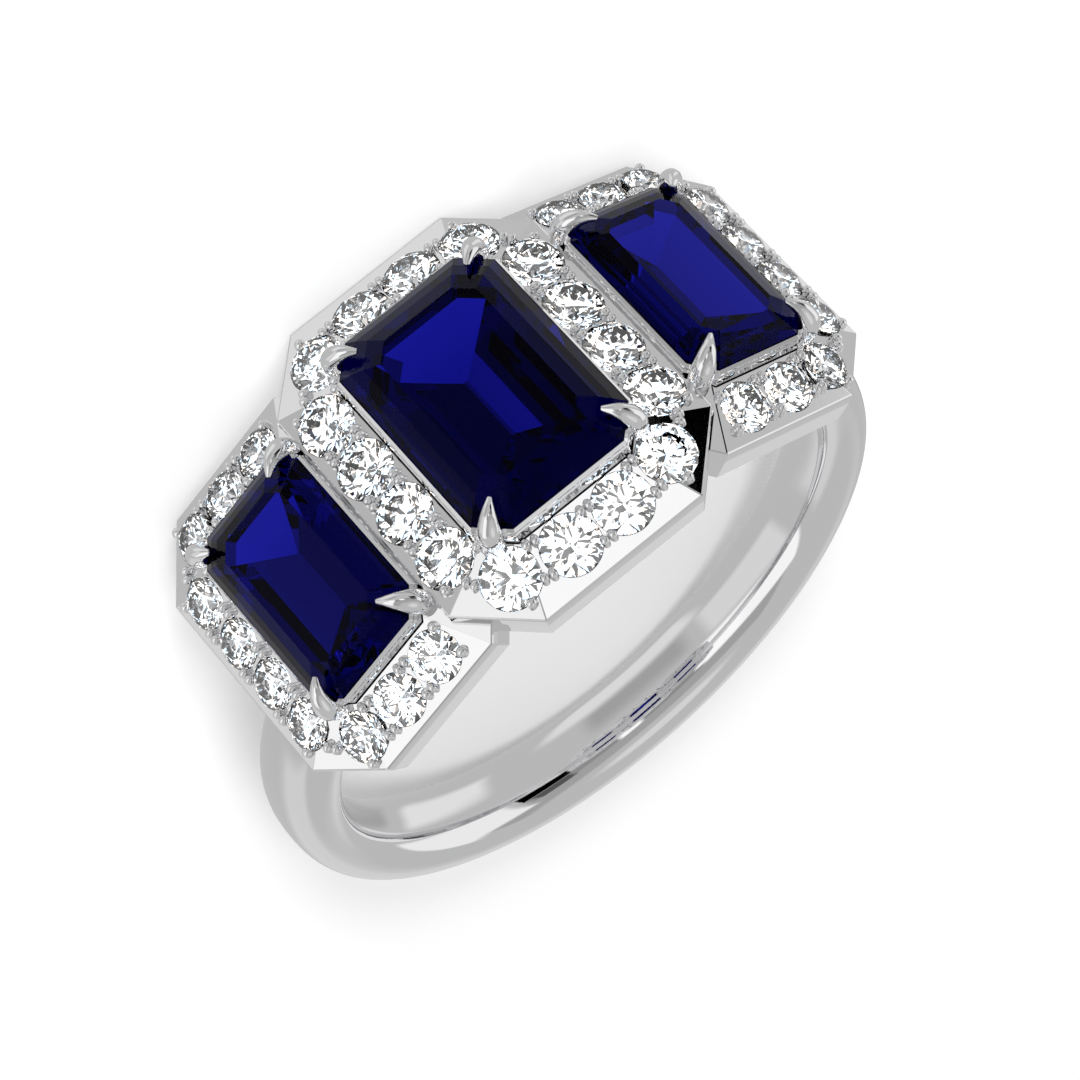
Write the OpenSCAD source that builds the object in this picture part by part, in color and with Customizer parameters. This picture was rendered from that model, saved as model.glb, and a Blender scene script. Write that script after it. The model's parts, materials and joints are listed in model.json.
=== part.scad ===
// Three-stone ring: emerald-cut sapphires in octagonal diamond halos on a court band.
// Everything is drawn with the ring upright, the finger along Y and the head up,
// and then laid on its side, as it rests by itself on a table.

/* [Finger hole and band] */
// Radius of the finger hole
finger_r = 8.65; // [8.2:0.05:9.2]
// Thickness of the band
band_t = 1.8; // [1.6:0.1:2.2]
// Width of the band, along the finger
band_w = 2.6; // [2.2:0.1:3]
// Width of the flat land inside the band
land_w = 1; // [0.8:0.1:1.2]
// Squareness of the band's section: 2 is an ellipse
band_square = 2.5; // [2.2:0.1:3]

/* [Halo plates] */
// Slope of the eight facets of a halo plate, in degrees
slope = 20; // [16:1:22]
// Height of the upright rim under a facet's outer edge
rim_h = 0.3; // [0.2:0.05:0.4]
// Depth of a plate below its outer edge
plate_t = 1; // [0.9:0.05:1.1]
// How far a plate's wall is set in at its foot
wall_in = 0.1; // [0.05:0.01:0.2]
// Gap between a plate and the sapphire's outline
well_gap = 0.15; // [0.14:0.01:0.16]

/* [Centre head] */
// Width, length and corner cut of the centre plate
centre_plate = [8.66, 11.02, 1.79]; // [1:0.01:12]
// Width, length and corner cut of the centre sapphire
centre_gem = [5.08, 7.06, 0.76]; // [0.5:0.01:8]
// Height of the centre plate's outer edge above the finger hole
centre_rise = 3.86; // [3.7:0.01:4.1]
// Height of the centre sapphire's girdle above its plate's outer edge
centre_lift = 1.3; // [1.2:0.01:1.5]
// Diameter of a centre halo diamond
centre_diamond = 1.65; // [1.61:0.01:1.66]

/* [Side heads] */
// Width, length and corner cut of a side plate
side_plate = [7.7, 9.5, 1.64]; // [1:0.01:11]
// Width, length and corner cut of a side sapphire
side_gem = [3.94, 6, 0.6]; // [0.5:0.01:7]
// How far a side head is turned round the finger, in degrees
side_turn = 27.4; // [27:0.1:28]
// Height of a side plate's outer edge above the finger hole
side_rise = 3.62; // [3.5:0.01:3.7]
// How far a side head is moved outwards along its own plate
side_shift = 0.2; // [0.1:0.05:0.4]
// Height of a side sapphire's girdle above its plate's outer edge
side_lift = 1.07; // [1:0.01:1.2]
// Diameter of a side halo diamond
side_diamond = 1.43; // [1.38:0.01:1.45]

/* [Settings] */
// Gap between a stone and the metal round it
stone_gap = 0.03; // [0.02:0.005:0.05]
// Radius of a bead that holds a diamond
bead_r = 0.13; // [0.12:0.01:0.16]
// Height of a bead's centre above the facet
bead_up = 0.1; // [0.08:0.01:0.12]
// Wall of the gallery under a halo plate
gallery_t = 0.6; // [0.5:0.05:0.8]
// Width of the rail that a sapphire sits on
rail_t = 0.3; // [0.25:0.05:0.4]
// Radius of the light hole under a diamond
light_r = 0.26; // [0.2:0.01:0.3]

/* [Hidden] */
// Columns of a plate, a sapphire and a diamond's site
W = 0;
L = 1;
CUT = 2;
X = 0;
Y = 1;
FACING = 2;

// Places of the halo diamonds, from the plate's middle
centre_pitch = 1.69;
centre_row_x = centre_plate[W] / 2 - 0.88;
centre_row_y = centre_plate[L] / 2 - 1.05;
centre_corner = [2.55, 4.13];
side_pitch = 1.53;
side_row_x = side_plate[W] / 2 - 0.88;
side_row_y = side_plate[L] / 2 - 0.87;
side_row = [-0.94, 0.56];
side_corner = [2, 3.75];

// Beads stand in pairs between two diamonds, on both sides of the row
bead_across = 0.43;
bead_along = 0.105;

// Share of a brilliant's diameter: table, crown, girdle and pavilion
table_share = 0.57;
crown_share = 0.15;
girdle_share = 0.03;
pavilion_share = 0.43;

// Steps of an emerald cut: share of the half width set in, share of it in height
crown_steps = [[0.1, 0.09], [0.22, 0.17], [0.38, 0.24]];
pavilion_steps = [[0.315, 0.441], [0.469, 0.589], [0.737, 0.798], [0.98, 0.965]];
pavilion_from_keel = [for (k = [len(pavilion_steps) - 1:-1:0]) pavilion_steps[k]];
girdle_half = 0.04;
cut_narrows = 0.97;

// A claw above its foot: out from the sapphire's cut corner, up from its girdle, radius
OUT = 0;
UP = 1;
RADIUS = 2;
claw_rows = [
    [-0.02, -0.9, 0.25], [0.22, -0.28, 0.33], [0.23, 0.17, 0.33],
    [0.01, 0.49, 0.25], [-0.22, 0.62, 0.17], [-0.46, 0.67, 0.09]
];
claw_foot = [-0.18, 0.2];
claw_sides = 12;

metal = "gainsboro";
blue = "navy";
white = "white";

// Band section, as a closed outline of points [radius, along the finger]
mid_r = finger_r + band_t / 2;
land_share = 1 - pow(land_w / band_w, band_square);
half_t = band_t / 2 / pow(land_share, 1 / band_square);
function signed_pow(v, p) = sign(v) * pow(abs(v), p);
section_turns = 44;
section = [
    for (k = [0:section_turns - 1])
        let (a = 360 * (k + 0.5) / section_turns)
        [
            max(finger_r, mid_r + half_t * signed_pow(cos(a), 2 / band_square)),
            band_w / 2 * signed_pow(sin(a), 2 / band_square)
        ]
];

// The rail stands in a moat in its plate, and the gallery under it ends on a curve round the finger
rail_in = 0.06;
floor_t = 0.3;
gallery_out = 0.28;
gallery_taper = 0.7;
gallery_depth = 3.2;
gallery_foot_r = finger_r + 0.7 * band_t;

// An octagon with two widths and cut corners, inset by d, clockwise from above
function octagon(size, d = 0) =
    let (
        x = size[W] / 2 - d,
        y = size[L] / 2 - d,
        c = max(size[CUT] - d * (2 - sqrt(2)), 0.02)
    )
    [[x - c, y], [x, y - c], [x, c - y], [x - c, -y], [c - x, -y], [-x, c - y], [-x, y - c], [c - x, y]];

// A solid through octagons, each [points, height], from the bottom to the top
module octagon_loft(rings) {
    n = 8;
    last = len(rings) - 1;
    polyhedron(
        points = [for (r = rings) for (p = r[0]) [p.x, p.y, r[1]]],
        faces = concat(
            [[for (k = [n - 1:-1:0]) k]],
            [for (i = [0:last - 1]) for (k = [0:n - 1])
                [i * n + k, i * n + (k + 1) % n, (i + 1) * n + (k + 1) % n, (i + 1) * n + k]],
            [[for (k = [0:n - 1]) last * n + k]]
        )
    );
}

// Rings of an emerald cut about its girdle, grown by a gap on every side. Its cut corners narrow inwards
function gem_ring(size, share, up, gap) =
    let (
        half = size[W] / 2,
        cut = size[CUT] * (1 - cut_narrows * share) + share * half * (2 - sqrt(2))
    )
    [octagon([size[W], size[L], cut], share * half - gap), up];
function gem_rings(size, gap = 0) =
    let (half = size[W] / 2, edge = girdle_half + gap)
    concat(
        [for (s = pavilion_from_keel) gem_ring(size, s[0], -edge - half * s[1], gap)],
        [gem_ring(size, 0, -edge, gap), gem_ring(size, 0, edge, gap)],
        [for (s = crown_steps) gem_ring(size, s[0], edge + half * s[1], gap)]
    );

// A round brilliant of 57 facets and a girdle, with its girdle's middle at the origin
module brilliant(d) {
    r = d / 2;
    g = girdle_share * d / 2;
    top = g + crown_share * d;
    foot = -g - pavilion_share * d;
    table_r = table_share * r;
    star_r = (table_r + 0.9 * (r - table_r) * 0.5) / cos(22.5);
    star_z = top - crown_share * d * (star_r * cos(22.5) - table_r) / (r - table_r);
    lower_r = 0.28 * r;
    lower_z = foot + pavilion_share * d * lower_r * cos(22.5) / r;
    function ring(n, radius, up, from) = [for (k = [0:n - 1])
        let (a = from + 360 * k / n) [radius * cos(a), radius * sin(a), up]];
    crown = 8;
    upper = 16;
    lower = 32;
    pavilion = 48;
    culet = 56;
    polyhedron(
        points = concat(
            ring(8, table_r, top, 0), ring(8, star_r, star_z, 22.5),
            ring(16, r, g, 0), ring(16, r, -g, 0),
            ring(8, lower_r, lower_z, 22.5), [[0, 0, foot]]
        ),
        faces = concat(
            [[for (k = [7:-1:0]) k]],
            [for (k = [0:7]) [k, (k + 1) % 8, crown + k]],
            [for (k = [0:7]) [k, crown + k, upper + 2 * k, crown + (k + 7) % 8]],
            [for (k = [0:7]) [crown + k, upper + 2 * k + 1, upper + 2 * k]],
            [for (k = [0:7]) [crown + k, upper + (2 * k + 2) % 16, upper + 2 * k + 1]],
            [for (k = [0:15]) [upper + k, upper + (k + 1) % 16, lower + (k + 1) % 16, lower + k]],
            [for (k = [0:7]) [pavilion + k, lower + 2 * k, lower + 2 * k + 1]],
            [for (k = [0:7]) [pavilion + k, lower + 2 * k + 1, lower + (2 * k + 2) % 16]],
            [for (k = [0:7]) [culet, pavilion + (k + 7) % 8, lower + 2 * k, pavilion + k]]
        )
    );
}

// Where a halo plate's roof is, above its outer edge
function inset_at(plate, x, y) = min(
    plate[W] / 2 - abs(x),
    plate[L] / 2 - abs(y),
    (plate[W] / 2 + plate[L] / 2 - plate[CUT] - abs(x) - abs(y)) / sqrt(2)
);
function roof_z(plate, x, y) = tan(slope) * inset_at(plate, x, y);

// Diamond sites, each [x, y, way that its facet faces], in their order round a head
function long_row(x, pitch, way) = [for (k = [1.5, 0.5, -0.5, -1.5]) [x, k * pitch, way]];
function turned(sites) = [for (s = sites) [-s[X], -s[Y], s[FACING] + 180]];
half_round = concat(
    [[centre_corner.x, centre_corner.y, 45]],
    long_row(centre_row_x, centre_pitch, 0),
    [[centre_corner.x, -centre_corner.y, -45]],
    [for (k = [0.5, -0.5]) [k * centre_pitch, -centre_row_y, -90]]
);
centre_sites = concat(half_round, turned(half_round));
side_sites = concat(
    [for (x = side_row) [x, side_row_y, 90]],
    [[side_corner.x, side_corner.y, 45]],
    long_row(side_row_x, side_pitch, 0),
    [[side_corner.x, -side_corner.y, -45]],
    [for (k = [1, 0]) [side_row[k], -side_row_y, -90]]
);

// Beads, each [x, y]: pairs between two neighbours, and single ones at the corners and the row's ends
function pair_beads(a, b) =
    let (
        m = [(a[X] + b[X]) / 2, (a[Y] + b[Y]) / 2],
        u = [b[X] - a[X], b[Y] - a[Y]] / norm([b[X] - a[X], b[Y] - a[Y]]),
        n = [-u.y, u.x]
    )
    [for (s = [-1, 1]) for (t = [-1, 1]) m + s * bead_across * n + t * bead_along * u];
function quarter_turns(p) = [for (sx = [-1, 1]) for (sy = [-1, 1]) [sx * p.x, sy * p.y]];
function polar(p, r, a) = [p.x + r * cos(a), p.y + r * sin(a)];
centre_beads = concat(
    [for (k = [0:15]) each pair_beads(centre_sites[k], centre_sites[(k + 1) % 16])],
    quarter_turns(polar(centre_corner, centre_diamond / 2, 90)),
    quarter_turns(polar([centre_row_x, 1.5 * centre_pitch], centre_diamond / 2, 52))
);
function both_ends(p) = [for (s = [-1, 1]) [p.x, s * p.y]];
side_beads = concat(
    [for (k = [0:8]) each pair_beads(side_sites[k], side_sites[k + 1])],
    both_ends(polar(side_corner, side_diamond / 2, 62)),
    both_ends(polar([side_row_x, 1.5 * side_pitch], side_diamond / 2, 40)),
    both_ends([side_row[0] - 0.42 * side_diamond, side_row_y + bead_across]),
    both_ends([side_row[0] - 0.42 * side_diamond, side_row_y - bead_across])
);

// A claw's points: rings square to its path, at the sapphire's cut corner that faces a, girdle at lift
function claw_path(lift) = concat([[claw_foot[0], floor_t - plate_t - lift, claw_foot[1]]], claw_rows);
function claw_points(gem, lift, a) =
    let (
        rows = claw_path(lift),
        last = len(rows) - 1,
        out = [sign(cos(a)), sign(sin(a)), 0] / sqrt(2),
        side = cross([0, 0, 1], out),
        corner = [sign(cos(a)) * (gem[W] - gem[CUT]) / 2, sign(sin(a)) * (gem[L] - gem[CUT]) / 2, lift]
    )
    [for (i = [0:last])
        let (
            before = rows[max(i - 1, 0)],
            after = rows[min(i + 1, last)],
            step = [after[OUT] - before[OUT], after[UP] - before[UP]],
            rise = step / norm(step),
            middle = corner + rows[i][OUT] * out + rows[i][UP] * [0, 0, 1],
            across = rise.y * out - rise.x * [0, 0, 1]
        )
        for (k = [0:claw_sides - 1])
            let (t = 360 * k / claw_sides)
            middle + rows[i][RADIUS] * (cos(t) * across + sin(t) * side)
    ];

module claw(gem, lift, a) {
    n = claw_sides;
    last = len(claw_rows);
    polyhedron(
        points = claw_points(gem, lift, a),
        faces = concat(
            [[for (k = [0:n - 1]) k]],
            [for (i = [0:last - 1]) for (k = [0:n - 1])
                [i * n + k, (i + 1) * n + k, (i + 1) * n + (k + 1) % n, i * n + (k + 1) % n]],
            [[for (k = [n - 1:-1:0]) last * n + k]]
        )
    );
}

// The ring's metal
module band() {
    rotate([90, 0, 0]) rotate_extrude($fn = 96) polygon(section);
}

module octagon_block(size, d, from, to) {
    octagon_loft([[octagon(size, d), from], [octagon(size, d), to]]);
}

// A plate with sloped facets, and the sapphire's rail in a moat in the middle
module halo_plate(plate, gem, lift) {
    roof_in = (plate[L] - gem[L]) / 2;
    difference() {
        union() {
            difference() {
                octagon_loft([
                    [octagon(plate, wall_in), -plate_t],
                    [octagon(plate), -rim_h],
                    [octagon(plate), 0],
                    [octagon(plate, roof_in), roof_in * tan(slope)]
                ]);
                octagon_block(gem, -well_gap, floor_t - plate_t, plate_t);
            }
            octagon_block(gem, rail_in, -plate_t, lift);
        }
        octagon_block(gem, rail_in + rail_t, -2 * plate_t, lift + plate_t);
    }
}

module gallery(gem) {
    top = floor_t / 2 - plate_t;
    difference() {
        octagon_loft([
            [octagon(gem, gallery_taper - gallery_out), -gallery_depth],
            [octagon(gem, -gallery_out), top]
        ]);
        octagon_loft([
            [octagon(gem, gallery_taper - gallery_out + gallery_t), -gallery_depth - floor_t],
            [octagon(gem, gallery_t - gallery_out), top + floor_t]
        ]);
    }
}

module beads(plate, places) {
    for (p = places)
        translate([p.x, p.y, roof_z(plate, p.x, p.y) + bead_up]) sphere(bead_r, $fn = 24);
}

module head_metal(plate, gem, lift, places) {
    halo_plate(plate, gem, lift);
    gallery(gem);
    for (a = [45:90:315]) claw(gem, lift, a);
    beads(plate, places);
}

// What the stones take out of the metal, with a small gap round each
module at_site(plate, site) {
    translate([site[X], site[Y], roof_z(plate, site[X], site[Y])])
        rotate([0, 0, site[FACING]]) rotate([0, slope, 0]) children();
}

module seat(d) {
    r = d / 2 + stone_gap;
    g = girdle_share * d / 2;
    top = g + crown_share * d + stone_gap;
    foot = -g - pavilion_share * d - 1.4 * stone_gap;
    rotate_extrude($fn = 48) polygon([
        [0, foot], [r, -g - stone_gap / 2], [r, g + stone_gap / 2],
        [table_share * d / 2 + stone_gap, top], [0, top]
    ]);
}

module light_hole(plate, site, d) {
    deep = pavilion_share * d;
    in = deep * sin(slope);
    up = roof_z(plate, site[X], site[Y]) - 0.8 * deep;
    translate([site[X] - in * cos(site[FACING]), site[Y] - in * sin(site[FACING]), -2 * plate_t])
        cylinder(r = light_r, h = up + 2 * plate_t, $fn = 24);
}

module head_seats(plate, gem, lift, sites, d) {
    for (s = sites) {
        at_site(plate, s) seat(d);
        light_hole(plate, s, d);
    }
    translate([0, 0, lift]) octagon_loft(gem_rings(gem, stone_gap));
}

// Where the heads stand on the finger
module centre_head() {
    translate([0, 0, finger_r + centre_rise]) children();
}

module right_head() {
    rotate([0, side_turn, 0]) translate([side_shift, 0, finger_r + side_rise]) children();
}

module left_head() {
    mirror([1, 0, 0]) right_head() children();
}

module mounting() {
    color(metal) difference() {
        union() {
            band();
            difference() {
                union() {
                    centre_head() head_metal(centre_plate, centre_gem, centre_lift, centre_beads);
                    right_head() head_metal(side_plate, side_gem, side_lift, side_beads);
                    left_head() head_metal(side_plate, side_gem, side_lift, side_beads);
                }
                rotate([90, 0, 0])
                    cylinder(r = gallery_foot_r, h = 2 * centre_plate[L], center = true, $fn = 96);
            }
        }
        centre_head() head_seats(centre_plate, centre_gem, centre_lift, centre_sites, centre_diamond);
        right_head() head_seats(side_plate, side_gem, side_lift, side_sites, side_diamond);
        left_head() head_seats(side_plate, side_gem, side_lift, side_sites, side_diamond);
    }
}

// The stones
module sapphire(gem, lift) {
    color(blue) translate([0, 0, lift]) octagon_loft(gem_rings(gem));
}

module diamond(plate, site, d) {
    color(white) at_site(plate, site) brilliant(d);
}

// The ring laid down: it stands on the foot of the centre plate's far wall and the back of the band
function band_reach(t) = max([for (p = section) cos(t) * p.y + sin(t) * p.x]);
function head_reach(t) =
    cos(t) * (centre_plate[L] / 2 - wall_in) - sin(t) * (finger_r + centre_rise - plate_t);
function rest_angle(low, high) =
    let (mid = (low + high) / 2)
    high - low < 0.0001 ? mid
    : head_reach(mid) > band_reach(mid) ? rest_angle(mid, high)
    : rest_angle(low, mid);
tilt = rest_angle(0, 30);
claw_top = max([for (p = claw_points(centre_gem, finger_r + centre_rise + centre_lift, 45))
    sin(tilt) * p.y + cos(tilt) * p.z]);
band_back = max([for (p = section) cos(tilt) * p.x + sin(tilt) * p.y]);

module laid() {
    translate([0, (band_back - claw_top) / 2, band_reach(tilt)]) rotate([tilt - 90, 0, 0]) children();
}

function diamond_name(head, k) = str(head, "_diamond_", k < 9 ? "0" : "", k + 1);
centre_count = len(centre_sites);
side_count = len(side_sites);

laid() mounting();
laid() centre_head() sapphire(centre_gem, centre_lift);  // centre_sapphire
laid() left_head() sapphire(side_gem, side_lift);  // left_sapphire
laid() right_head() sapphire(side_gem, side_lift);  // right_sapphire
for (k = [0:centre_count - 1])
    laid() centre_head() diamond(centre_plate, centre_sites[k], centre_diamond);
for (k = [0:side_count - 1])
    laid() left_head() diamond(side_plate, side_sites[k], side_diamond);
for (k = [0:side_count - 1])
    laid() right_head() diamond(side_plate, side_sites[k], side_diamond);
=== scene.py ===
import json

import bpy
import numpy as np
from mathutils import Matrix, Vector


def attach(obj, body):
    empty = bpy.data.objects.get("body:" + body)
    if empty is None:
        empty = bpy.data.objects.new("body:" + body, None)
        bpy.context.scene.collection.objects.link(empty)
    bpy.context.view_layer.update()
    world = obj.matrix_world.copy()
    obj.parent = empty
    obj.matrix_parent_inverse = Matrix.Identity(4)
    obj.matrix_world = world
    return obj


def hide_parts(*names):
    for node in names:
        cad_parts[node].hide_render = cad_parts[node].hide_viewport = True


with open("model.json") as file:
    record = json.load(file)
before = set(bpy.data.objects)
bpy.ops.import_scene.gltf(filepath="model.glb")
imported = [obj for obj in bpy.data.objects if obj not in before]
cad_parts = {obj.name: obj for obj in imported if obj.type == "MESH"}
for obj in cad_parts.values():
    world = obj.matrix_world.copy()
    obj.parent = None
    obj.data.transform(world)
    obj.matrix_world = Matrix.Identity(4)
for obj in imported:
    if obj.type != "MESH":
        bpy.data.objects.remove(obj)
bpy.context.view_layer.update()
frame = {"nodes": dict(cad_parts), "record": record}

# Sizes in millimetres, as in the part's source
FINGER_R = 8.65
BAND_T, BAND_W, BAND_SQUARE = 1.8, 2.6, 2.5
SLOPE = np.radians(20)
RIM_H, PLATE_T, WALL_IN, WELL_GAP, FLOOR_T = 0.3, 1.0, 0.1, 0.15, 0.3
# Plates and stones are (across the heads, along the finger, side of the corner's square)
CENTRE = {"plate": (8.66, 11.02, 1.79), "gem": (5.08, 7.06, 0.76), "rise": 3.86, "lift": 1.3,
          "diamond": 1.65, "turn": 0.0, "shift": 0.0}
SIDE = {"plate": (7.7, 9.5, 1.64), "gem": (3.94, 6.0, 0.6), "rise": 3.62, "lift": 1.07,
        "diamond": 1.43, "turn": np.radians(27.4), "shift": 0.2}
BEAD_ACROSS, BEAD_ALONG, BEAD_TOP, BEAD_DOME, BEAD_FOOT = 0.45, 0.127, 0.24, 0.13, -0.2
DOME_DEGREES = (0, 20, 40, 60, 78)
PAIR_BEAD, LONE_BEAD = (0.122, 0.165), (0.15, 0.15)
STONE_GAP, GIRDLE_GAP = 0.03, 0.008
RAIL_IN, RAIL_T, RAIL_OUT, LIP_IN, LIP_OUT = 0.06, 0.3, 0.12, 0.015, 0.108
# A rail's upper outside: lip, groove and lower step. Each row is its inset from the stone's outline, below
# 0 outside it, and its height over the girdle's middle.
LIP_ROWS = ((0.02, 0.03), (-LIP_IN, 0.03), (-LIP_OUT, -0.07), (-LIP_OUT, -0.12), (0.04 - LIP_OUT, -0.16),
            (0.02 - LIP_OUT, -0.18), (-RAIL_OUT, -0.22))
GALLERY_OUT, GALLERY_TAPER, GALLERY_DEPTH, GALLERY_T = 0.28, 0.7, 3.2, 0.6
# Where the galleries' feet end: this share of the way through the band
GALLERY_REACH = 0.7
GALLERY_FOOT_R = FINGER_R + GALLERY_REACH * BAND_T
# How far above the plate's underside a rail's foot and a gallery's top lie, and the gallery's roundings
SUNK, GALLERY_ROUND, GALLERY_CORNER = 0.1, 0.05, 0.12
LIGHT_R = 0.26
RAIL_SEAT, RAIL_ROUND, PLATE_ROUND = 0.5, 0.012, 0.05
TABLE_SHARE, CROWN_SHARE, GIRDLE_SHARE, PAVILION_SHARE = 0.57, 0.15, 0.03, 0.43
# Each step's inset and height as shares of the half width, as in the part's source. The pavilion's were
# found by a search against the photo's sapphires.
CROWN_STEPS = ((0.1, 0.09), (0.22, 0.17), (0.38, 0.24))
PAVILION_STEPS = ((0.315, 0.441), (0.469, 0.589), (0.737, 0.798), (0.98, 0.965))
GIRDLE_HALF, CUT_NARROWS = 0.04, 0.97
GOLDEN_ANGLE = 137.5
# How many sides the round shapes have
SEAT_SIDES, DRILL_SIDES, CLAW_SIDES, BEAD_SIDES, FINGER_SIDES = 48, 24, 28, 20, 128
# The smallest cut corner, and the largest shares of a corner or an edge that its rounding takes
MIN_CORNER, FILLET_CAP, ROUND_CAP = 0.02, 0.4, 0.45
# A height over everything on a head, how deep a seat's point goes in gaps, and how far a light hole goes up
ABOVE_ALL, SEAT_FOOT_GAPS, LIGHT_REACH = 4, 1.4, 0.8
# A brilliant's star and lower facets: how far out the stars reach, and the foot of the lower halves
STAR_SHARE, LOWER_SHARE = 0.45, 0.28

# The finger hole in the row frame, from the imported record. Its axis is y in the upright frame.
bore = frame["record"]["mounts"][0]
FINGER_AXIS = -np.array(bore["axis"])
ACROSS = np.array((1.0, 0.0, 0.0))
HEADWARD = np.cross(ACROSS, FINGER_AXIS)
BORE_AT = np.array(bore["pos_m"])


def laid(points):
    """Upright millimetres (x across the heads, y along the finger, z up through the head) to row metres."""
    return BORE_AT + 0.001 * points @ np.array((ACROSS, FINGER_AXIS, HEADWARD))


def on_head(points, head, side):
    """Points of a head to the upright frame: shifted, raised, turned about the finger, mirrored if left."""
    x, y, z = points[..., 0] + head["shift"], points[..., 1], points[..., 2] + FINGER_R + head["rise"]
    c, s = np.cos(head["turn"]), np.sin(head["turn"])
    return np.stack((side * (c * x + s * z), y, c * z - s * x), axis=-1)


def linear(code):
    """sRGB hex to linear light: c / 12.92 up to 0.04045, else ((c + 0.055) / 1.055) ** 2.4."""
    c = np.array([int(code[k:k + 2], 16) for k in (1, 3, 5)]) / 255
    return (*np.where(c <= 0.04045, c / 12.92, ((c + 0.055) / 1.055) ** 2.4), 1.0)


def add(tree, kind, inputs=None, **settings):
    """Adds a node, sets its settings, and fills or links its inputs."""
    node = tree.nodes.new(kind)
    for name, value in settings.items():
        setattr(node, name, value)
    for name, value in (inputs or {}).items():
        if isinstance(value, bpy.types.NodeSocket):
            tree.links.new(value, node.inputs[name])
        else:
            node.inputs[name].default_value = value
    return node


def mesh_of(name, points, faces, smooth=False):
    """A mesh from an (n, 3) array and a list of index arrays, each holding faces of one size."""
    mesh = bpy.data.meshes.new(name)
    mesh.from_pydata(points.reshape(-1, 3).tolist(), [], [f for group in faces for f in group.tolist()])
    mesh.polygons.foreach_set("use_smooth", np.full(len(mesh.polygons), smooth))
    mesh.validate()
    return mesh


def grid_faces(rows, columns, first=0, wrap_rows=False):
    """Quads of a grid that closes along its columns: row i, column j joins row i + 1 and column j + 1."""
    i, j = np.meshgrid(np.arange(rows if wrap_rows else rows - 1), np.arange(columns), indexing="ij")
    k, m = (i + 1) % rows, (j + 1) % columns
    quads = np.stack((i * columns + j, i * columns + m, k * columns + m, k * columns + j), -1)
    return first + quads.reshape(-1, 4)


def capped(rings):
    """Faces of a lofted solid: quads between the rings, and a face on the first and the last ring."""
    rows, columns = rings.shape[:2]
    ends = np.arange(columns)[None]
    return [grid_faces(rows, columns), ends[:, ::-1], ends + (rows - 1) * columns]


def octagon(size, inset, fillet=0.0, steps=1):
    """Cut-cornered rectangles inset by each given amount, (insets, 8 * steps, 2), anticlockwise.
    Corner k lies between the sides that face 45 (k - 1) and 45 k degrees, and its fillet is an arc."""
    inset = np.atleast_1d(np.asarray(inset, float))
    a, b = size[0] / 2 - inset, size[1] / 2 - inset
    c = np.maximum(size[2] - inset * (2 - np.sqrt(2)), MIN_CORNER)
    corners = np.stack((
        np.stack((a, c - b), -1), np.stack((a, b - c), -1),
        np.stack((a - c, b), -1), np.stack((c - a, b), -1),
        np.stack((-a, b - c), -1), np.stack((-a, c - b), -1),
        np.stack((c - a, -b), -1), np.stack((a - c, -b), -1),
    ), 1)
    k = np.arange(8)
    ways = np.radians(45 * (k[:, None] + np.array((-1, 0))))
    middle = np.stack((np.cos(ways), np.sin(ways)), -1).sum(1) / (1 + np.cos(np.radians(45)))
    turn = np.radians(45 * (k[:, None] - 1 + np.linspace(0, 1, steps) if steps > 1 else k[:, None] - 0.5))
    r = np.minimum(fillet, FILLET_CAP * c)[:, None, None, None]
    out = (corners - r[..., 0] * middle)[:, :, None] + r * np.stack((np.cos(turn), np.sin(turn)), -1)
    return (out if steps > 1 else corners[:, :, None]).reshape(len(inset), -1, 2)


def rounded(profile, radius, steps=3, closed=False):
    """A polyline whose corners are quadratic curves: they start and end a radius from the corner."""
    p = np.asarray(profile, float)
    before, after = np.roll(p, 1, 0) - p, np.roll(p, -1, 0) - p
    length = lambda v: np.linalg.norm(v, axis=1)[:, None]
    reach = lambda v: v / length(v) * np.minimum(radius, ROUND_CAP * length(v))
    s = np.linspace(0, 1, steps)[None, :, None]
    start, end = (p + reach(before))[:, None], (p + reach(after))[:, None]
    curve = (1 - s) ** 2 * start + 2 * s * (1 - s) * p[:, None] + s ** 2 * end
    if closed:
        return curve.reshape(-1, 2)
    return np.concatenate((p[:1], curve[1:-1].reshape(-1, 2), p[-1:]))


def octagon_rings(size, profile, fillet=0.05, steps=3):
    """Octagons stacked along a profile of (inset, height): one ring of points for each."""
    profile = np.asarray(profile, float)
    flat = octagon(size, profile[:, 0], fillet, steps)
    return np.concatenate((flat, np.broadcast_to(profile[:, 1, None, None], flat.shape[:2] + (1,))), -1)


def lathe(profile, sides):
    """A profile of (radius, height) turned about z: point (r cos t, r sin t, h)."""
    profile, t = np.asarray(profile, float), 2 * np.pi * np.arange(sides) / sides
    r, h = profile[:, :1], np.broadcast_to(profile[:, 1:], (len(profile), sides))
    return np.stack((r * np.cos(t), r * np.sin(t), h), -1)


def joined(parts):
    """Point arrays and face lists put one after the other, as one."""
    points, faces, first = [], [], 0
    for p, f in parts:
        points.append(p.reshape(-1, 3))
        faces += [group + first for group in f]
        first += points[-1].shape[0]
    return np.concatenate(points), faces


def mirrored(points, faces, side):
    """Faces turned round on the mirrored head, so they still point outwards."""
    return points, [group[:, ::-1] for group in faces] if side < 0 else faces


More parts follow.
